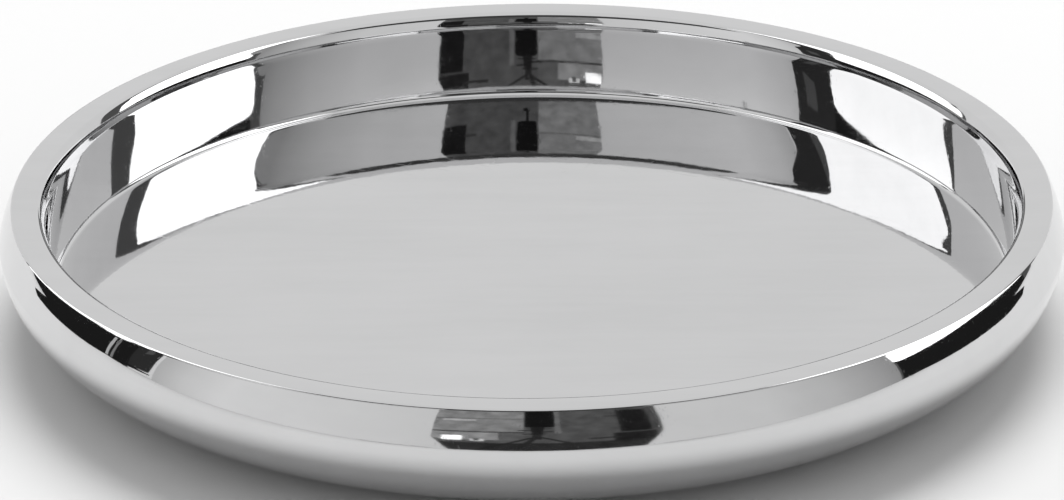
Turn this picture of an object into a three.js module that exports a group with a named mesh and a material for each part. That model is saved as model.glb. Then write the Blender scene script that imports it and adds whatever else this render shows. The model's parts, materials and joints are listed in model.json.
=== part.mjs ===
// Round double-walled serving tray in mirror-polished stainless steel.
// A pressed pan (serving floor, upright wall, rolled lip and flat rim) is welded at the rim's outer edge
// to a bulged outer shell. A plate set into the shell's underside closes the hollow between them.
// Millimetres, +Z up. The origin is on the tray's axis, on the surface that its feet stand on.

import * as THREE from 'three';

// Driving dimensions. A tilt is the angle of a surface's normal above the horizontal, in degrees.
const OVERALL_DIAMETER = 400;
const OVERALL_HEIGHT = 50;
const SERVING_DEPTH = 36.3; // rim top down to the serving floor
const SHEET = 0.8; // thickness of every pressed sheet
const JOINT_GAP = 0.3; // glue or weld line between pieces that meet

// Pan: a crease, a flat rim that dips inwards, a lip that tightens towards the rim, and an upright wall.
const CREASE_ROUND = 1.2;
const CREASE_TILT = 29.3; // where the pan's edge meets the shell's
const RIM_WIDTH = 9.1;
const RIM_DIP = 0.4;
const LIP_BENDS = [
  { radius: 2.6, toTilt: 31 },
  { radius: 10.5, toTilt: 10 },
  { radius: 15.8, toTilt: -2.7 },
];
const WALL_FOOT_TILT = 7.2; // the hollow wall leans back slightly at its foot
const FLOOR_FILLET = 2.1;

// Outer shell: shoulder, belly, flank and tuck, which turns under to a flat ring.
const SHOULDER_BEND = 44.9;
const SHOULDER_END_TILT = 13;
const BELLY_BEND = 4;
const FLANK_BEND = 26;
const FLANK_END_TILT = -45;
const FOOT_HEIGHT = 2.1; // clearance under the shell
const BASE_RING_INNER_RADIUS = 136;

// Underside and filling.
const PLATE_RECESS = 0.5; // base plate sits this far above the shell's lowest ring
const DAMPING_THICKNESS = 3;
const DAMPING_RADIUS = 168;
const FOOT_COUNT = 4;
const FOOT_RADIUS = 11;
const FOOT_CIRCLE_RADIUS = 118;
const FOOT_ROUND = 0.6;
const VENT_RADIUS = 3.5;
const VENT_CAP_RADIUS = 6;
const VENT_CAP_THICKNESS = 1;

// Facets.
const ROUND_SEGMENTS = 60;
const SMALL_SEGMENTS = 24;

const rimTop = OVERALL_HEIGHT;
const floorTop = rimTop - SERVING_DEPTH;
const shellBottom = FOOT_HEIGHT;
const plateBottom = shellBottom + PLATE_RECESS;

const steel = { color: 0xcfd0d2, roughness: 0.06, metalness: 1 };
const satinSteel = { color: 0xb9babd, roughness: 0.35, metalness: 1 };
const bitumen = { color: 0x2a2927, roughness: 0.9, metalness: 0 };
const silicone = { color: 0xb8b9b6, roughness: 0.6, metalness: 0 };

const point = (radius, height) => new THREE.Vector2(radius, height);
const degrees = (angle) => THREE.MathUtils.degToRad(angle);

const sine = (angle) => Math.sin(degrees(angle));
const cosine = (angle) => Math.cos(degrees(angle));

// Where the pan's edge and the shell's edge meet, on the outside.
const shoulderSpan = SHOULDER_BEND * (cosine(SHOULDER_END_TILT) - cosine(CREASE_TILT));
const bellySpan = BELLY_BEND * (1 - cosine(SHOULDER_END_TILT));
const shellTopRadius = OVERALL_DIAMETER / 2 - shoulderSpan - bellySpan;
const creaseRadius = shellTopRadius - JOINT_GAP * sine(CREASE_TILT);
const creaseHeight = rimTop - CREASE_ROUND * (1 - sine(CREASE_TILT));
const shellTopHeight = creaseHeight - JOINT_GAP * cosine(CREASE_TILT);

// Points in the radius-height plane, drawn by straight runs and tangent arcs. Headings are in degrees.
class Section {
  constructor(radius, height, heading) {
    this.points = [point(radius, height)];
    this.heading = heading;
  }

  get end() {
    return this.points.at(-1);
  }

  line(length) {
    const ahead = point(cosine(this.heading), sine(this.heading));
    this.points.push(ahead.multiplyScalar(length).add(this.end));
    return this;
  }

  // Turns left by a positive angle and right by a negative one.
  arc(bendRadius, turn, steps) {
    const side = Math.sign(turn) * bendRadius;
    const centre = point(this.end.x - side * sine(this.heading), this.end.y + side * cosine(this.heading));
    for (let i = 1; i <= steps; i++) {
      const heading = this.heading + (turn * i) / steps;
      this.points.push(point(centre.x + side * sine(heading), centre.y - side * cosine(heading)));
    }
    this.heading += turn;
    return this;
  }
}

// The other face of a sheet, to the left of its outline for a positive thickness.
function otherFace(outline, thickness) {
  return outline.map((corner, i) => {
    const before = outline[Math.max(i - 1, 0)];
    const after = outline[Math.min(i + 1, outline.length - 1)];
    const arriving = (i > 0 ? corner.clone().sub(before) : after.clone().sub(corner)).normalize();
    const leaving = (i < outline.length - 1 ? after.clone().sub(corner) : arriving.clone()).normalize();
    const across = point(-arriving.y - leaving.y, arriving.x + leaving.x).normalize();
    const mitre = thickness / (across.y * leaving.x - across.x * leaving.y);
    return corner.clone().addScaledVector(across, mitre);
  });
}

// A body of revolution about +Z. An outline that begins on the axis also ends there,
// and any other outline is closed on itself.
function turned(outline, segments = ROUND_SEGMENTS) {
  const onAxis = outline[0].x === 0;
  const profile = onAxis ? outline : [...outline, outline[0].clone()];
  const geometry = new THREE.LatheGeometry(profile, segments);
  geometry.rotateX(Math.PI / 2);
  return geometry;
}

function piece(name, geometry, finish) {
  const mesh = new THREE.Mesh(geometry, new THREE.MeshStandardMaterial(finish));
  mesh.name = name;
  return mesh;
}

// The hidden corner of a sheet's edge at the crease, squarely behind its visible corner.
function behindEdge(corner) {
  return point(corner.x - SHEET * cosine(CREASE_TILT), corner.y - SHEET * sine(CREASE_TILT));
}

// The pan's sheet: crease, flat rim, lip, upright wall, fillet and serving floor.
function innerPan() {
  const dipTilt = THREE.MathUtils.radToDeg(Math.atan(RIM_DIP / RIM_WIDTH));
  const section = new Section(creaseRadius, creaseHeight, 90 + CREASE_TILT);
  section.arc(CREASE_ROUND, 90 - CREASE_TILT, 2);
  section.heading += dipTilt;
  section.line(RIM_WIDTH - CREASE_ROUND * cosine(CREASE_TILT));
  let tilt = 90 - dipTilt;
  for (const { radius, toTilt } of LIP_BENDS) {
    section.arc(radius, tilt - toTilt, 2);
    tilt = toTilt;
  }
  const wallHeight = section.end.y - floorTop - FLOOR_FILLET * (1 - sine(WALL_FOOT_TILT));
  const wallBend = wallHeight / (sine(WALL_FOOT_TILT) - sine(tilt));
  section.arc(wallBend, tilt - WALL_FOOT_TILT, 3);
  section.arc(FLOOR_FILLET, WALL_FOOT_TILT - 90, 3);

  const visible = section.points;
  visible.at(-1).y = floorTop;
  const hidden = otherFace(visible, SHEET);
  hidden[0] = behindEdge(visible[0]);
  hidden.at(-1).set(visible.at(-1).x, floorTop - SHEET);
  const outline = [point(0, floorTop - SHEET), ...hidden.reverse(), ...visible, point(0, floorTop)];
  return piece('inner_pan', turned(outline), steel);
}

// The shell's sheet, drawn down its outside to the flat ring and back up its inside.
function outerShell() {
  const section = new Section(shellTopRadius, shellTopHeight, CREASE_TILT - 90);
  section.arc(SHOULDER_BEND, SHOULDER_END_TILT - CREASE_TILT, 3);
  section.arc(BELLY_BEND, -SHOULDER_END_TILT, 1);
  section.arc(FLANK_BEND, FLANK_END_TILT, 4);
  const tuckBend = (section.end.y - shellBottom) / (1 + sine(FLANK_END_TILT));
  section.arc(tuckBend, -90 - FLANK_END_TILT, 4);

  const outside = [...section.points, point(BASE_RING_INNER_RADIUS, shellBottom)];
  outside.at(-2).y = shellBottom;
  const inside = otherFace(outside, -SHEET);
  inside[0] = behindEdge(outside[0]);
  inside.at(-1).set(BASE_RING_INNER_RADIUS, shellBottom + SHEET);
  inside.at(-2).y = shellBottom + SHEET;
  return piece('outer_shell', turned([...inside, ...outside.reverse()]), steel);
}

// Disc set inside the shell's flat ring, with a hole for the vent plug.
function basePlate() {
  const radius = BASE_RING_INNER_RADIUS - JOINT_GAP;
  const hole = VENT_RADIUS + JOINT_GAP;
  const outline = [
    point(hole, plateBottom),
    point(radius, plateBottom),
    point(radius, plateBottom + SHEET),
    point(hole, plateBottom + SHEET),
  ];
  return piece('base_plate', turned(outline), satinSteel);
}

// Pad bonded to the back of the serving floor, which keeps the thin sheet flat and quiet.
function dampingDisc() {
  const top = floorTop - SHEET - JOINT_GAP;
  const outline = [
    point(0, top - DAMPING_THICKNESS),
    point(DAMPING_RADIUS, top - DAMPING_THICKNESS),
    point(DAMPING_RADIUS, top),
    point(0, top),
  ];
  return piece('damping_disc', turned(outline), bitumen);
}

// Plug that seals the hollow's vent hole: a low cap under the plate and a stem through it.
function ventPlug() {
  const capTop = plateBottom - JOINT_GAP;
  const outline = [
    point(0, capTop - VENT_CAP_THICKNESS),
    point(VENT_CAP_RADIUS, capTop - VENT_CAP_THICKNESS),
    point(VENT_CAP_RADIUS, capTop),
    point(VENT_RADIUS, capTop),
    point(VENT_RADIUS, plateBottom + 2 * SHEET),
    point(0, plateBottom + 2 * SHEET),
  ];
  return piece('vent_plug', turned(outline, SMALL_SEGMENTS), silicone);
}

// A low pad with a rounded lower edge, bonded under the base plate.
function foot(index) {
  const top = plateBottom - JOINT_GAP;
  const edge = new Section(FOOT_RADIUS - FOOT_ROUND, 0, 0).arc(FOOT_ROUND, 90, 2).points;
  const outline = [point(0, 0), ...edge, point(FOOT_RADIUS, top), point(0, top)];
  const angle = degrees(360 / FOOT_COUNT) * (index + 0.5);
  const mesh = piece(`foot_${index + 1}`, turned(outline, SMALL_SEGMENTS), silicone);
  mesh.position.set(FOOT_CIRCLE_RADIUS * Math.cos(angle), FOOT_CIRCLE_RADIUS * Math.sin(angle), 0);
  return mesh;
}

const tray = new THREE.Group();
tray.add(innerPan(), outerShell(), basePlate(), dampingDisc(), ventPlug());
for (let index = 0; index < FOOT_COUNT; index++) {
  tray.add(foot(index));
}

export default tray;
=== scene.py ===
"""A round serving tray in mirror-polished steel, standing on a pale studio floor.

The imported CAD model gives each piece's place and overall size. The pressed sheets, the base plate, the vent
plug and the feet are rebuilt here as smooth turned meshes in the space that their CAD solids hold.
"""

import json
import math

import bpy
from mathutils import Matrix, Vector

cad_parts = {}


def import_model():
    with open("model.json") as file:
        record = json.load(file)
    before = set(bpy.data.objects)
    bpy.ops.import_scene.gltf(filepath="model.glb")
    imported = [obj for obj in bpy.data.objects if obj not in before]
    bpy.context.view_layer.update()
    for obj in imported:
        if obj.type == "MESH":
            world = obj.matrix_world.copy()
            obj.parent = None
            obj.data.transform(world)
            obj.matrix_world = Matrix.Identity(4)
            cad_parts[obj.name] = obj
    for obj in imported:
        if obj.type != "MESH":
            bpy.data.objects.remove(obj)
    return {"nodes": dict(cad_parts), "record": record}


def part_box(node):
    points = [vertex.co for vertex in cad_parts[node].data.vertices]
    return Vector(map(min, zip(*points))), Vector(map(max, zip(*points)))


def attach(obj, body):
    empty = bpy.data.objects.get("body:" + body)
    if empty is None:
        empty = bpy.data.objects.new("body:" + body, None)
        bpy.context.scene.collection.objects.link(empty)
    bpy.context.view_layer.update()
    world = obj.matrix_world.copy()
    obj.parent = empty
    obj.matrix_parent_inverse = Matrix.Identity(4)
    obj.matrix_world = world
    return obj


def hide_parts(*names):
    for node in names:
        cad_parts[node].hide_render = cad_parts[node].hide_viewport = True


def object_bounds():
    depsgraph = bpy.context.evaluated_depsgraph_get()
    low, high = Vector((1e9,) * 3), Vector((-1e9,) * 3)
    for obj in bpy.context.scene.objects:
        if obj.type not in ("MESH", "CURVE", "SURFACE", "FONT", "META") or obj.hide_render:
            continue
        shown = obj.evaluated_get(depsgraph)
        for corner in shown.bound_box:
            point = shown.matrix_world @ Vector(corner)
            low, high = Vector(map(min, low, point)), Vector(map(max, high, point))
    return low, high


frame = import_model()
cad_low, cad_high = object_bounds()

MM = 0.001
BODY = "root"

RIM_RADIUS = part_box("inner_pan")[1].x
RIM_TOP = cad_high.z

# The tray's section. Lengths are in metres.
# A tilt is the angle of a surface's normal above the horizontal, in degrees.
SHEET = 0.8 * MM
SEAM = 0.05 * MM  # left open between pieces that meet
CREASE_ROUND = 1.2 * MM
CREASE_TILT = 29.3
RIM_WIDTH = 9.1 * MM
RIM_DIP = 0.4 * MM
LIP_BENDS = ((2.6 * MM, 31.0), (10.5 * MM, 10.0), (15.8 * MM, -2.7))
WALL_TILT = 7.2
FLOOR_FILLET = 2.1 * MM
SHOULDER_END_TILT = 13.0
BELLY_BEND = 4.0 * MM
FLANK_BEND = 26.0 * MM
FLANK_END_TILT = -45.0
BASE_RING_INNER_RADIUS = 136 * MM
EDGE_ROUND = 0.25 * MM
FOOT_ROUND = 0.6 * MM
GROOVE_SHARE = 0.72  # of the foot's radius
GROOVE_DEPTH = 0.25 * MM
VENT_HOLE_SHARE = 0.61  # of the plug cap's radius
VENT_STEM_SHARE = 0.58
VENT_DOME_SHARE = 0.2  # of the plug cap's thickness

ROUND_SEGMENTS = 384
SMALL_SEGMENTS = 64
SHARP_EDGE = 40  # degrees
ON_AXIS = 1e-7  # a radius below this is the axis itself


# ---------------------------------------------------------------- sections


class Section:
    """Points in the radius-height plane, drawn by straight runs and tangent arcs."""

    def __init__(self, radius, height, heading):
        self.points = [(radius, height)]
        self.heading = math.radians(heading)

    def line(self, length):
        radius, height = self.points[-1]
        outward = length * math.cos(self.heading)
        upward = length * math.sin(self.heading)
        self.points.append((radius + outward, height + upward))
        return self

    def arc(self, bend_radius, turn, steps):
        """Turns left for a positive angle and right for a negative one."""
        turn = math.radians(turn)
        side = math.copysign(1, turn)
        radius, height = self.points[-1]
        centre = (
            radius - side * bend_radius * math.sin(self.heading),
            height + side * bend_radius * math.cos(self.heading),
        )
        for step in range(1, steps + 1):
            heading = self.heading + turn * step / steps
            self.points.append((
                centre[0] + side * bend_radius * math.sin(heading),
                centre[1] - side * bend_radius * math.cos(heading),
            ))
        self.heading += turn
        return self


def offset(points, distance):
    """The outline moved sideways, to the right of its direction of travel."""
    moved = []
    for i, (radius, height) in enumerate(points):
        before = points[max(i - 1, 0)]
        after = points[min(i + 1, len(points) - 1)]
        along = Vector((after[0] - before[0], after[1] - before[1])).normalized()
        moved.append((radius + along.y * distance, height - along.x * distance))
    return moved


def turned(name, outline, segments, closed):
    """A mesh of revolution about +Z. An open outline starts and ends on the axis."""
    vertices = []
    rings = []
    for radius, height in outline:
        if radius < ON_AXIS:
            rings.append([len(vertices)])
            vertices.append((0.0, 0.0, height))
            continue
        ring = []
        for i in range(segments):
            angle = 2 * math.pi * i / segments
            ring.append(len(vertices))
            vertices.append((radius * math.cos(angle), radius * math.sin(angle), height))
        rings.append(ring)
    pairs = list(zip(rings, rings[1:]))
    if closed:
        pairs.append((rings[-1], rings[0]))
    faces = []
    for lower, upper in pairs:
        for i in range(segments):
            j = (i + 1) % segments
            if len(lower) == 1:
                faces.append((lower[0], upper[j], upper[i]))
            elif len(upper) == 1:
                faces.append((lower[i], lower[j], upper[0]))
            else:
                faces.append((lower[i], lower[j], upper[j], upper[i]))
    mesh = bpy.data.meshes.new(name)
    mesh.from_pydata(vertices, [], faces)
    mesh.update()
    mesh.polygons.foreach_set("use_smooth", [True] * len(mesh.polygons))
    mesh.set_sharp_from_angle(angle=math.radians(SHARP_EDGE))
    piece = bpy.data.objects.new(name, mesh)
    bpy.context.scene.collection.objects.link(piece)
    return piece


def place(piece, node, material):
    piece.data.materials.append(material)
    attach(piece, BODY)
    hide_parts(node)


# ---------------------------------------------------------------- materials


def new_material(name):
    material = bpy.data.materials.new(name)
    material.use_nodes = True
    tree = material.node_tree
    return material, tree, tree.nodes["Principled BSDF"]


def node(tree, kind, **inputs):
    made = tree.nodes.new(kind)
    for key, value in inputs.items():
        made.inputs[key.replace("_", " ")].default_value = value
    return made


def link(tree, source, output, target, socket):
    tree.links.new(source.outputs[output], target.inputs[socket])


def mapped(tree, scale):
    """Object coordinates, multiplied along each axis. A smaller number draws the pattern out further."""
    coordinates = tree.nodes.new("ShaderNodeTexCoord")
    mapping = node(tree, "ShaderNodeMapping", Scale=scale)
    link(tree, coordinates, "Object", mapping, "Vector")
    return mapping


def noise(tree, vector, scale, detail=2.0, roughness=0.5):
    made = node(tree, "ShaderNodeTexNoise", Scale=scale, Detail=detail, Roughness=roughness)
    link(tree, vector, "Vector", made, "Vector")
    return made


def remap(tree, source, output, from_range, to_range):
    made = tree.nodes.new("ShaderNodeMapRange")
    for socket, value in zip(("From Min", "From Max", "To Min", "To Max"), (*from_range, *to_range)):
        made.inputs[socket].default_value = value
    link(tree, source, output, made, "Value")
    return made


def blend_colours(tree, factor, output, first, second):
    made = tree.nodes.new("ShaderNodeMix")
    made.data_type = "RGBA"
    made.inputs["A"].default_value = (*first, 1)
    made.inputs["B"].default_value = (*second, 1)
    link(tree, factor, output, made, "Factor")
    return made


def combine(tree, operation, first, first_output, second, second_output):
    made = tree.nodes.new("ShaderNodeMath")
    made.operation = operation
    link(tree, first, first_output, made, 0)
    link(tree, second, second_output, made, 1)
    return made


def bump(tree, shader, height, output, distance, under=None):
    made = node(tree, "ShaderNodeBump", Strength=1.0, Distance=distance)
    link(tree, height, output, made, "Height")
    if under is not None:
        link(tree, under, "Normal", made, "Normal")
    link(tree, made, "Normal", shader, "Normal")
    return made


def hairlines(tree, angle, scale, threshold):
    """Short straight wiping scratches in one direction, as a mask that is 1 on a scratch."""
    lean = (0.2, 0.1)
    soft_edge = 0.03
    coordinates = tree.nodes.new("ShaderNodeTexCoord")
    turn = node(tree, "ShaderNodeMapping", Rotation=(*lean, math.radians(angle)))
    link(tree, coordinates, "Object", turn, "Vector")
    squeeze = node(tree, "ShaderNodeMapping", Scale=scale)
    link(tree, turn, "Vector", squeeze, "Vector")
    streaks = noise(tree, squeeze, scale=1.0, detail=1.0)
    return remap(tree, streaks, "Fac", (threshold, threshold + soft_edge), (0.0, 1.0))


def polished_steel():
    """Mirror finish: a faint buffing ripple, clouds left by wiping, and a few hairline scratches."""
    material, tree, shader = new_material("polished_steel")
    shader.inputs["Metallic"].default_value = 1.0
    everywhere = mapped(tree, (1, 1, 1))

    clouds = noise(tree, everywhere, scale=14.0, detail=5.0, roughness=0.62)
    smears = noise(tree, mapped(tree, (9, 70, 40)), scale=1.0, detail=4.0, roughness=0.6)
    wiped = combine(tree, "MULTIPLY", clouds, "Fac", smears, "Fac")
    along = hairlines(tree, 24, (12, 1500, 400), threshold=0.71)
    across = hairlines(tree, 118, (16, 1800, 400), threshold=0.73)
    scratches = combine(tree, "MAXIMUM", along, "Result", across, "Result")

    cleaner, duller = (0.672, 0.672, 0.677), (0.640, 0.641, 0.645)
    wear = remap(tree, wiped, "Value", (0.14, 0.40), (0.0, 1.0))
    tint = blend_colours(tree, wear, "Result", cleaner, duller)
    link(tree, tint, "Result", shader, "Base Color")
    gloss = remap(tree, wiped, "Value", (0.14, 0.42), (0.018, 0.06))
    roughness_of_scratches = 0.05
    scuffed = tree.nodes.new("ShaderNodeMath")
    scuffed.operation = "MULTIPLY_ADD"
    link(tree, scratches, "Value", scuffed, 0)
    scuffed.inputs[1].default_value = roughness_of_scratches
    link(tree, gloss, "Result", scuffed, 2)
    link(tree, scuffed, "Value", shader, "Roughness")

    ripple = noise(tree, everywhere, scale=220.0, detail=1.0)
    waves = bump(tree, shader, ripple, "Fac", distance=0.006 * MM)
    swell = noise(tree, everywhere, scale=30.0, detail=1.0)
    long_waves = bump(tree, shader, swell, "Fac", distance=0.016 * MM, under=waves)
    bump(tree, shader, scratches, "Value", distance=0.0012 * MM, under=long_waves)
    return material


def satin_steel():
    """Turned finish: fine concentric lines about the tray's axis, with uneven sheen."""
    material, tree, shader = new_material("satin_steel")
    shader.inputs["Metallic"].default_value = 1.0
    shader.inputs["Anisotropic"].default_value = 0.6
    coordinates = tree.nodes.new("ShaderNodeTexCoord")
    flat = tree.nodes.new("ShaderNodeVectorMath")
    flat.operation = "MULTIPLY"
    flat.inputs[1].default_value = (1, 1, 0)
    link(tree, coordinates, "Object", flat, 0)
    radius = tree.nodes.new("ShaderNodeVectorMath")
    radius.operation = "LENGTH"
    link(tree, flat, "Vector", radius, 0)
    rings = []
    for scale in (900.0, 3200.0):
        lines = node(tree, "ShaderNodeTexNoise", Scale=scale, Detail=3.0)
        lines.noise_dimensions = "1D"
        link(tree, radius, "Value", lines, "W")
        rings.append(lines)
    turning = combine(tree, "MULTIPLY", rings[0], "Fac", rings[1], "Fac")
    clouds = noise(tree, mapped(tree, (1, 1, 1)), scale=22.0, detail=4.0, roughness=0.6)
    worn = combine(tree, "MULTIPLY", turning, "Value", clouds, "Fac")
    darker, paler = (0.50, 0.50, 0.51), (0.62, 0.62, 0.625)
    wear = remap(tree, worn, "Value", (0.06, 0.22), (0.0, 1.0))
    tint = blend_colours(tree, wear, "Result", darker, paler)
    link(tree, tint, "Result", shader, "Base Color")
    gloss = remap(tree, clouds, "Fac", (0.3, 0.7), (0.26, 0.40))
    link(tree, gloss, "Result", shader, "Roughness")
    tangent = tree.nodes.new("ShaderNodeTangent")
    tangent.direction_type = "RADIAL"
    tangent.axis = "Z"
    link(tree, tangent, "Tangent", shader, "Tangent")
    bump(tree, shader, turning, "Value", distance=0.03 * MM)
    return material


def silicone():
    """Matt moulded rubber with a fine grain and a little dust."""
    material, tree, shader = new_material("silicone")
    shader.inputs["Subsurface Weight"].default_value = 0.08
    everywhere = mapped(tree, (1, 1, 1))
    dust = noise(tree, everywhere, scale=160.0, detail=5.0, roughness=0.65)
    clean, dusty = (0.44, 0.44, 0.43), (0.54, 0.535, 0.52)
    cover = remap(tree, dust, "Fac", (0.42, 0.68), (0.0, 1.0))
    tint = blend_colours(tree, cover, "Result", clean, dusty)
    link(tree, tint, "Result", shader, "Base Color")
    gloss = remap(tree, dust, "Fac", (0.35, 0.7), (0.48, 0.66))
    link(tree, gloss, "Result", shader, "Roughness")
    grain = noise(tree, everywhere, scale=2400.0, detail=2.0)
    bump(tree, shader, grain, "Fac", distance=0.03 * MM)
    return material


def damping_pad():
    """Dull bitumen rubber with a coarse, slightly pitted face."""
    material, tree, shader = new_material("damping_pad")
    everywhere = mapped(tree, (1, 1, 1))
    patches = noise(tree, everywhere, scale=40.0, detail=5.0, roughness=0.6)
    darker, paler = (0.022, 0.021, 0.020), (0.045, 0.043, 0.040)
    wear = remap(tree, patches, "Fac", (0.35, 0.7), (0.0, 1.0))
    tint = blend_colours(tree, wear, "Result", darker, paler)
    link(tree, tint, "Result", shader, "Base Color")
    gloss = remap(tree, patches, "Fac", (0.3, 0.7), (0.75, 0.92))
    link(tree, gloss, "Result", shader, "Roughness")
    pits = noise(tree, everywhere, scale=900.0, detail=3.0, roughness=0.7)
    bump(tree, shader, pits, "Fac", distance=0.2 * MM)
    return material


def matt_paint(name, albedo):
    material, _, shader = new_material(name)
    shader.inputs["Base Color"].default_value = (albedo, albedo, albedo, 1)
    shader.inputs["Roughness"].default_value = 0.8
    return material


# ---------------------------------------------------------------- the tray


def mount_height(name):
    return next(m for m in frame["record"]["mounts"] if m["name"] == name)["pos_m"][2]


def sine(tilt):
    return math.sin(math.radians(tilt))


def cosine(tilt):
    return math.cos(math.radians(tilt))


def inner_pan(material):
    """Crease, flat rim, lip, upright wall, fillet and serving floor, all one pressed sheet."""
    floor_top = mount_height("serving_floor")
    dip_tilt = math.degrees(math.atan(RIM_DIP / RIM_WIDTH))
    section = Section(RIM_RADIUS, RIM_TOP - CREASE_ROUND * (1 - sine(CREASE_TILT)), 90 + CREASE_TILT)
    section.arc(CREASE_ROUND, 90 - CREASE_TILT + dip_tilt, steps=8)
    section.line(RIM_WIDTH - CREASE_ROUND * cosine(CREASE_TILT))
    tilt = 90 - dip_tilt
    for bend, next_tilt in LIP_BENDS:
        section.arc(bend, tilt - next_tilt, steps=16)
        tilt = next_tilt
    wall_height = section.points[-1][1] - floor_top - FLOOR_FILLET * (1 - sine(WALL_TILT))
    wall_bend = wall_height / (sine(WALL_TILT) - sine(tilt))
    section.arc(wall_bend, tilt - WALL_TILT, steps=40)
    section.arc(FLOOR_FILLET, WALL_TILT - 90, steps=16)
    visible = section.points
    visible[-1] = (visible[-1][0], floor_top)
    hidden = offset(visible, -SHEET)
    outline = [(0, floor_top - SHEET), *reversed(hidden), *visible, (0, floor_top)]
    piece = turned("pan_mirror_pressing", outline, ROUND_SEGMENTS, closed=False)
    place(piece, "inner_pan", material)


def outer_shell(material):
    """Shoulder, belly, flank and tuck, which bends under to the flat ring that holds the base plate."""
    low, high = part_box("outer_shell")
    top = RIM_TOP - CREASE_ROUND * (1 - sine(CREASE_TILT)) - SEAM
    belly_span = BELLY_BEND * (1 - cosine(SHOULDER_END_TILT))
    shoulder_span = high.x - belly_span - RIM_RADIUS
    shoulder_bend = shoulder_span / (cosine(SHOULDER_END_TILT) - cosine(CREASE_TILT))
    section = Section(RIM_RADIUS, top, CREASE_TILT - 90)
    section.arc(shoulder_bend, SHOULDER_END_TILT - CREASE_TILT, steps=24)
    section.arc(BELLY_BEND, -SHOULDER_END_TILT, steps=8)
    section.arc(FLANK_BEND, FLANK_END_TILT, steps=32)
    tuck_bend = (section.points[-1][1] - low.z) / (1 + sine(FLANK_END_TILT))
    section.arc(tuck_bend, -90 - FLANK_END_TILT, steps=32)
    outside = section.points
    outside[-1] = (outside[-1][0], low.z)
    edge = Section(BASE_RING_INNER_RADIUS + EDGE_ROUND, low.z, 180).arc(EDGE_ROUND, -90, steps=6).points
    inside = offset(outside, SHEET)
    inside[-1] = (outside[-1][0], low.z + SHEET)
    inside[0] = (RIM_RADIUS - SHEET * cosine(CREASE_TILT), top - SHEET * sine(CREASE_TILT))
    outline = inside + [(BASE_RING_INNER_RADIUS, low.z + SHEET)] + (outside + edge)[::-1]
    piece = turned("shell_bulged_pressing", outline, ROUND_SEGMENTS, closed=True)
    place(piece, "outer_shell", material)


def base_plate(material):
    """The disc that closes the underside, with rolled edges at its rim and round the vent hole."""
    low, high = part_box("base_plate")
    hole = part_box("vent_plug")[1].x * VENT_HOLE_SHARE
    radius = BASE_RING_INNER_RADIUS - SEAM
    section = Section(hole + EDGE_ROUND, low.z, 0)
    section.line(radius - hole - 2 * EDGE_ROUND)
    section.arc(EDGE_ROUND, 90, steps=6)
    section.points += [(radius, high.z), (hole, high.z), (hole, low.z + EDGE_ROUND)]
    section.heading = math.radians(-90)
    section.arc(EDGE_ROUND, 90, steps=6)
    section.points.pop()
    piece = turned("plate_turned_disc", section.points, ROUND_SEGMENTS, closed=True)
    place(piece, "base_plate", material)


def vent_plug(material):
    """A button with a domed face and a stem that fills the vent hole."""
    low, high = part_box("vent_plug")
    cap_radius = high.x
    stem_radius = cap_radius * VENT_STEM_SHARE
    cap_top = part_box("base_plate")[0].z - SEAM
    dome = cap_radius - EDGE_ROUND
    dome_rise = VENT_DOME_SHARE * (cap_top - low.z)
    rings = 12
    outline = [(0, low.z)]
    outline += [(dome * i / rings, low.z + dome_rise * (i / rings) ** 2) for i in range(1, rings + 1)]
    edge = Section(dome, low.z + dome_rise, 10).arc(EDGE_ROUND, 80, steps=6).points[1:]
    outline += edge
    outline += [(edge[-1][0], cap_top), (stem_radius, cap_top), (stem_radius, high.z - EDGE_ROUND)]
    outline += [(stem_radius - EDGE_ROUND, high.z), (0, high.z)]
    piece = turned("vent_button", outline, SMALL_SEGMENTS, closed=False)
    place(piece, "vent_plug", material)


def foot(name, material):
    """A low moulded pad: a flat face with a shallow ring groove, and a rounded edge."""
    low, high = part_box(name)
    middle = (low + high) / 2
    radius = (high.x - low.x) / 2
    groove = radius * GROOVE_SHARE
    outline = [(0, low.z), (groove - 2 * GROOVE_DEPTH, low.z)]
    outline += Section(groove - GROOVE_DEPTH, low.z, 60).arc(GROOVE_DEPTH, -120, steps=8).points
    outline += [(groove + 2 * GROOVE_DEPTH, low.z)]
    section = Section(radius - FOOT_ROUND, low.z, 0).arc(FOOT_ROUND, 90, steps=10)
    section.points.append((radius, high.z - EDGE_ROUND))
    section.arc(EDGE_ROUND, 90, steps=6)
    outline += section.points + [(0, high.z)]
    piece = turned(name + "_moulded_pad", outline, SMALL_SEGMENTS, closed=False)
    piece.data.transform(Matrix.Translation((middle.x, middle.y, 0)))
    place(piece, name, material)


def damping_disc(material):
    """Hidden in the hollow, so its CAD solid stays and gets the pad's finish."""
    for holder in frame["nodes"]["damping_disc"].material_slots:
        holder.material = material


# ---------------------------------------------------------------- the studio


# Lengths are in metres and angles in degrees. A head is the elevation of a card's top edge, seen from the
# rim's centre.
CAMERA_DISTANCE = 7 * RIM_RADIUS  # from the rim's centre
CAMERA_ELEVATION = 22.75
CAMERA_LOOKS_PAST = 1.107  # below the rim's centre
CAMERA_ROLL = 0.455
CAMERA_PLACE = Vector((
    0,
    -CAMERA_DISTANCE * cosine(CAMERA_ELEVATION),
    RIM_TOP + CAMERA_DISTANCE * sine(CAMERA_ELEVATION),
))
LENS = 122.5
SENSOR_WIDTH = 36

FLOOR_HALF_SIDE = 40.0
FLOOR_GAP = 0.2 * MM
FLOOR_ALBEDO = 0.54

SCREEN_DISTANCE = 1.42
SCREEN_HEAD = 39.5
GLOOM_HEAD = 58
DOORWAY_DISTANCE = 7.0
DOORWAY_HEAD = 12
CURVE_STEP = 3
CARD_FOOT = 0.03
BACK_OF_ROOM = -4.0

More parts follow.
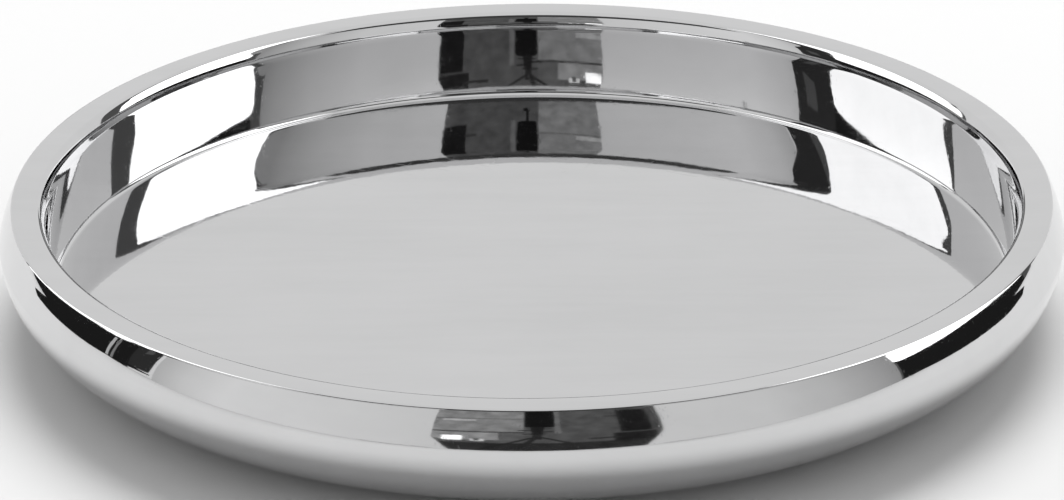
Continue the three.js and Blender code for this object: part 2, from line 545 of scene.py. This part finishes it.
# Luminances.
ROOM = 0.86
RIGHT_CLOTH = 2.6
LEFT_CLOTH = 2.0
FRAME = 0.1
BLACK = 0.015

TOP_LIGHT_PLACE = (0.4, 2.5, 5.6)
TOP_LIGHT_SIZE = 4.6
TOP_LIGHT_POWER = 430.0


def camera():
    """Looks slightly past the rim's centre, so that the tray sits high in the frame."""
    data = bpy.data.cameras.new("camera")
    data.sensor_width = SENSOR_WIDTH
    data.lens = LENS
    eye = bpy.data.objects.new("camera", data)
    bpy.context.scene.collection.objects.link(eye)
    pitch = Matrix.Rotation(math.radians(90 - CAMERA_ELEVATION - CAMERA_LOOKS_PAST), 4, "X")
    roll = Matrix.Rotation(math.radians(-CAMERA_ROLL), 4, "Z")
    eye.matrix_world = Matrix.Translation(CAMERA_PLACE) @ (pitch @ roll)
    bpy.context.scene.camera = eye


def floor():
    mesh = bpy.data.meshes.new("floor")
    side = FLOOR_HALF_SIDE
    corners = [(-side, -side, 0), (side, -side, 0), (side, side, 0), (-side, side, 0)]
    mesh.from_pydata(corners, [], [(0, 1, 2, 3)])
    mesh.materials.append(matt_paint("floor_paint", FLOOR_ALBEDO))
    piece = bpy.data.objects.new("floor", mesh)
    bpy.context.scene.collection.objects.link(piece)
    piece.location.z = cad_low.z - FLOOR_GAP


def glow(name, unevenness):
    """Emission as strong as each card's own "luminance" attribute says, give or take the unevenness."""
    material = bpy.data.materials.new(name)
    material.use_nodes = True
    tree = material.node_tree
    tree.nodes.clear()
    level = tree.nodes.new("ShaderNodeAttribute")
    level.attribute_name = "luminance"
    patches = noise(tree, mapped(tree, (2.0, 1, 1.4)), scale=2.0, detail=4.0)
    share = remap(tree, patches, "Fac", (0.3, 0.7), (1 - unevenness, 1 + unevenness))
    strength = combine(tree, "MULTIPLY", level, "Fac", share, "Result")
    shine = node(tree, "ShaderNodeEmission", Color=(1, 1, 1, 1))
    link(tree, strength, "Value", shine, "Strength")
    out = tree.nodes.new("ShaderNodeOutputMaterial")
    link(tree, shine, "Emission", out, "Surface")
    return material


GLOW = glow("card_glow", 0.015)
MURK = glow("room_murk", 0.28)


def card(name, corners, faces, luminances, material=GLOW):
    """Faces of the studio that the tray reflects. They are kept out of the picture and off the floor."""
    mesh = bpy.data.meshes.new(name)
    mesh.from_pydata(corners, [], faces)
    mesh.attributes.new("luminance", "FLOAT", "POINT").data.foreach_set("value", luminances)
    mesh.materials.append(material)
    piece = bpy.data.objects.new(name, mesh)
    bpy.context.scene.collection.objects.link(piece)
    piece.visible_camera = False
    piece.visible_diffuse = False
    piece.visible_shadow = False


def direction(azimuth):
    """From the tray's axis. Azimuth 0 is the camera's side and positive is to its right."""
    return Vector((sine(azimuth), -cosine(azimuth), 0))


def curved_screen(name, stops, low, high, distance):
    """Upright card around the tray's axis, shaded evenly between its stops of (azimuth, luminance)."""
    corners, luminances = [], []
    for (start, first), (end, last) in zip(stops, stops[1:]):
        count = max(1, round((end - start) / CURVE_STEP))
        for i in range(count + 1):
            share = i / count
            foot = direction(start + (end - start) * share) * distance
            for height in (low, high):
                corners.append(foot + Vector((0, 0, height)))
                luminances.append(first + (last - first) * share)
    faces = [(i, i + 2, i + 3, i + 1) for i in range(0, len(corners) - 2, 2)]
    card(name, corners, faces, luminances)


def flat_screen(name, start, end, outline, luminance, material=GLOW):
    """Upright card over the line between two places on the floor.

    A corner of the outline is (share of the way along that line, height).
    """
    start, end = Vector((*start, 0)), Vector((*end, 0))
    corners = [start.lerp(end, share) + Vector((0, 0, height)) for share, height in outline]
    card(name, corners, [tuple(range(len(corners)))], [luminance] * len(corners), material)


def rise(elevation, distance):
    return RIM_TOP + distance * math.tan(math.radians(elevation))


def box_outline(left, right, low, high):
    return ((left, low), (right, low), (right, high), (left, high))


def rounded(corners, cut):
    """The outline with each corner bent round, from a distance before it to the same distance after it."""
    steps = 6
    points = []
    corners = [Vector(corner) for corner in corners]
    for before, corner, after in zip(corners[-1:] + corners[:-1], corners, corners[1:] + corners[:1]):
        start = corner.lerp(before, min(0.5, cut / (before - corner).length))
        end = corner.lerp(after, min(0.5, cut / (after - corner).length))
        for i in range(steps + 1):
            share = i / steps
            points.append(start.lerp(corner, share).lerp(corner.lerp(end, share), share)[:])
    return points


def softboxes():
    """One at each side, in a dark frame. The fronts are flat, with edges that wander a little, as the edges
    of stretched cloth do.
    """
    cut, near_frame_cut = 0.08, 0.05
    behind = Vector((0.01, 0))

    near, far = Vector((1.90, -0.44)), Vector((1.81, 1.06))
    sill = ((-0.02, 0.43), (0.20, 0.385), (0.46, 0.335), (0.62, 0.28), (0.80, 0.19), (0.95, 0.11))
    far_edge = ((0.955, 0.55), (0.915, 0.80), (1.01, 1.05), (1.02, 1.30), (1.12, 3.5))
    near_edge = ((0.03, 3.5), (0.03, 1.02), (-0.035, 0.80), (-0.055, 0.52))
    outline = rounded(sill + far_edge + near_edge, cut)
    flat_screen("right_softbox", near, far, outline, RIGHT_CLOTH)
    frame_outline = ((-0.14, 0.03), (1.17, 0.03), (1.19, 0.64), (1.28, 1.28), (1.32, 3.6), (-0.14, 3.6))
    flat_screen("right_frame", near + behind, far + behind, rounded(frame_outline, cut), FRAME)
    outline = box_outline(-0.03, 0.95, CARD_FOOT, 0.5)
    flat_screen("right_under_box", near + behind / 2, far + behind / 2, outline, BLACK)

    near, far = Vector((-1.52, -0.16)), Vector((-1.92, 1.354))
    sill = ((0.03, 0.41), (0.12, 0.365), (0.26, 0.32), (0.47, 0.275), (1.05, 0.12))
    far_edge = ((1.07, 0.68), (0.97, 0.88), (0.99, 1.02), (1.20, 1.24), (1.24, 3.5))
    near_edge = ((0.06, 3.5), (0.055, 1.03), (0.02, 0.75), (-0.01, 0.50))
    outline = rounded(sill + far_edge + near_edge, cut)
    flat_screen("left_softbox", near, far, outline, LEFT_CLOTH)
    frame_outline = ((0, 0.03), (1.13, 0.03), (1.12, 0.85), (1.18, 1.12), (1.38, 1.50), (1.42, 3.6), (0, 3.6))
    flat_screen("left_frame", near - behind, far - behind, rounded(frame_outline, cut), FRAME)
    outline = box_outline(0, 1, CARD_FOOT, 0.5)
    flat_screen("left_under_box", near - behind / 2, far - behind / 2, outline, BLACK)
    edge = ((0, 0.08), (1, 0.08), (1, 0.75), (1.08, 0.95), (1.1, 2.0), (0.35, 2.0), (0.28, 0.72), (0, 0.48))
    flat_screen("left_near_frame", (-0.90, -0.24), (-1.53, -0.155), rounded(edge, near_frame_cut), 0.035)
    flat_screen("left_frame_hinge", (-0.99, -0.22), (-1.13, -0.20), box_outline(0, 1, 0.28, 0.46), FRAME)


def low_flags():
    """Black blades close to the tray, no higher than its rim, which carry its dark streaks down to the flank.

    A thin post with a dull edge stands in front of the left one.
    """
    aside, post_aside = 0.30, 0.295
    cut = 0.003
    right = ((0, 0.047), (0.80, 0.048), (1, 0.040), (0.95, 0.033), (0.78, 0.031), (0.42, 0.036), (0, 0.0415))
    flat_screen("right_flag", (aside, -0.185), (aside, -0.012), rounded(right, cut), BLACK)
    left = ((0, 0.048), (0.80, 0.049), (1, 0.038), (0.95, 0.033), (0.78, 0.034), (0.45, 0.038), (0, 0.046))
    flat_screen("left_flag", (-aside, -0.170), (-aside, 0.0), rounded(left, cut), BLACK)
    post, edge = box_outline(0, 1, 0.042, 0.081), box_outline(0, 1, 0.042, 0.083)
    flat_screen("left_stand", (-post_aside, -0.1203), (-post_aside, -0.1169), post, 0.55)
    flat_screen("left_stand_edge", (-post_aside, -0.1255), (-post_aside, -0.1228), edge, 0.26)


def screens():
    """Pale screens with an opening between them for the camera, under an unlit upper wall."""
    head = rise(SCREEN_HEAD, SCREEN_DISTANCE)
    right_stops = ((24.0, 0.82), (45, 0.78), (60, 0.62), (70, 0.46), (73.8, 0.38))
    curved_screen("right_screen", right_stops, CARD_FOOT, head, SCREEN_DISTANCE)
    left_stops = ((-77, 0.6), (-70, 0.78), (-60, 0.91), (-40, 0.86), (-18.8, 0.80))
    curved_screen("left_screen", left_stops, CARD_FOOT, head, SCREEN_DISTANCE)
    near = (direction(74) * SCREEN_DISTANCE)[:2]
    far = (direction(79.8) * SCREEN_DISTANCE)[:2]
    flap = ((-0.1, 0.60), (0.3, 0.62), (1, 0.80), (1, 1.07), (0.5, 1.15), (-0.1, 1.17))
    flat_screen("right_screen_flap", near, far, rounded(flap, 0.15), 0.38)
    gloom = rise(GLOOM_HEAD, SCREEN_DISTANCE)
    curved_screen("upper_wall", ((-62, 0.06), (62, 0.06)), head, gloom, SCREEN_DISTANCE)
    top = rise(DOORWAY_HEAD, DOORWAY_DISTANCE)
    curved_screen("doorway", ((168, 0.2), (196, 0.2)), 0, top, DOORWAY_DISTANCE)
    left, right = (-0.46, -1.30), (0.59, -1.30)
    flat_screen("left_screen_foot", left, right, ((0, 0.03), (0.10, 0.015), (0.02, 0.22), (0, 0.30)), 0.80)
    flat_screen("right_screen_foot", left, right, ((1, 0.03), (0.90, 0.015), (0.98, 0.24), (1, 0.34)), 0.82)


def back_of_room():
    """What shows through the opening: a dim room with shelves and a window, each in front of the one before.

    After each name come its left and right sides, its foot and head, and its luminance.
    """
    layer_gap = 0.01
    things = (
        ("dim_room", -2.6, 3.0, -0.02, 4.2, 0.11),
        ("grey_blind", -1.62, -0.14, 1.10, 3.3, 0.30),
        ("low_wall", -1.62, -0.30, 0.62, 1.04, 0.36),
        ("pillar", -0.48, -0.12, 0.62, 1.04, 0.14),
        ("beam", -1.62, -0.12, 1.04, 1.10, 0.07),
        ("upper_rail", -1.62, -0.12, 1.88, 1.93, 0.20),
        ("window", -1.26, -0.97, 0.56, 0.82, 1.9),
        ("lamp", -0.86, -0.66, 0.54, 0.66, 0.9),
        ("lamp_shade", -0.80, -0.72, 0.57, 0.70, 0.12),
        ("lit_sill", -1.28, -0.80, 1.72, 1.84, 0.55),
        ("dark_floor", -2.6, 3.0, -0.02, 0.44, 0.035),
        ("cupboard", 1.19, 1.66, 0.90, 2.33, BLACK),
        ("cupboard_foot", 1.08, 1.72, 0.40, 0.86, 0.02),
        ("shelf", 0.72, 1.20, 0.58, 0.65, 0.03),
        ("upper_shelf", 0.98, 1.20, 1.88, 1.96, 0.05),
        ("bright_gap", 0.28, 0.36, 0.95, 2.3, 0.19),
        ("side_wall", 1.68, 2.4, 0.9, 4.2, 0.07),
    )
    for layer, (name, left, right, low, high, luminance) in enumerate(things):
        depth = BACK_OF_ROOM + layer_gap * layer
        flat_screen(name, (left, depth), (right, depth), box_outline(0, 1, low, high), luminance, MURK)


def tripod():
    """The camera and its stand, cut out of dark card just behind the eye. Corners are (x, height)."""
    behind_eye = 0.04
    small_cut = 0.004
    depth = CAMERA_PLACE.y - behind_eye

    def part(name, corners, cut, luminance):
        flat_screen("camera_" + name, (0, depth), (1, depth), rounded(corners, cut), luminance, MURK)

    part("body", ((-0.040, 0.43), (-0.036, 0.85), (0.086, 0.85), (0.092, 0.43)), 0.03, 0.01)
    part("neck", ((0.014, 0.83), (0.032, 0.83), (0.034, 1.0), (0.014, 1.0)), small_cut, 0.01)
    part("hood", ((0.004, 0.98), (0.052, 0.98), (0.046, 1.03), (0.010, 1.03)), 0.01, 0.01)
    part("head", ((-0.005, 0.30), (-0.012, 0.44), (0.045, 0.44), (0.035, 0.30)), 0.01, 0.02)
    bars = (
        ("plate", -0.03, 0.075, 0.400),
        ("lever", -0.065, 0.03, 0.370),
        ("knob", 0.01, 0.085, 0.345),
        ("clamp", -0.045, 0.05, 0.310),
    )
    for name, left, right, low in bars:
        high = low + 0.012
        part(name, ((left, low), (left, high), (right, high), (right, low)), small_cut, BLACK)
    part("column", ((-0.01, 0.22), (-0.005, 0.31), (0.035, 0.31), (0.035, 0.22)), small_cut, 0.03)
    for name, foot_x in (("left_leg", -0.26), ("middle_leg", -0.09), ("right_leg", 0.28)):
        leg = ((foot_x, CARD_FOOT), (0, 0.27), (0.03, 0.27), (foot_x + 0.03, CARD_FOOT))
        part(name, leg, small_cut, 0.03)


def top_light():
    """A large soft light above and behind the tray. Its own reflection is kept out of the steel."""
    data = bpy.data.lights.new("top_light", "AREA")
    data.shape = "DISK"
    data.size = TOP_LIGHT_SIZE
    data.energy = TOP_LIGHT_POWER
    lamp = bpy.data.objects.new("top_light", data)
    bpy.context.scene.collection.objects.link(lamp)
    lamp.location = TOP_LIGHT_PLACE
    lamp.rotation_euler = Vector(TOP_LIGHT_PLACE).to_track_quat("Z", "Y").to_euler()
    lamp.visible_glossy = False


def world():
    made = bpy.data.worlds.new("tent")
    made.use_nodes = True
    made.node_tree.nodes["Background"].inputs["Color"].default_value = (ROOM, ROOM, ROOM, 1)
    bpy.context.scene.world = made


camera()
floor()
world()
softboxes()
low_flags()
screens()
back_of_room()
tripod()
top_light()

steel = polished_steel()
inner_pan(steel)
outer_shell(steel)
base_plate(satin_steel())
damping_disc(damping_pad())
rubber = silicone()
vent_plug(rubber)
for name in sorted(frame["nodes"]):
    if name.startswith("foot_"):
        foot(name, rubber)

bpy.context.scene.view_settings.view_transform = "Standard"
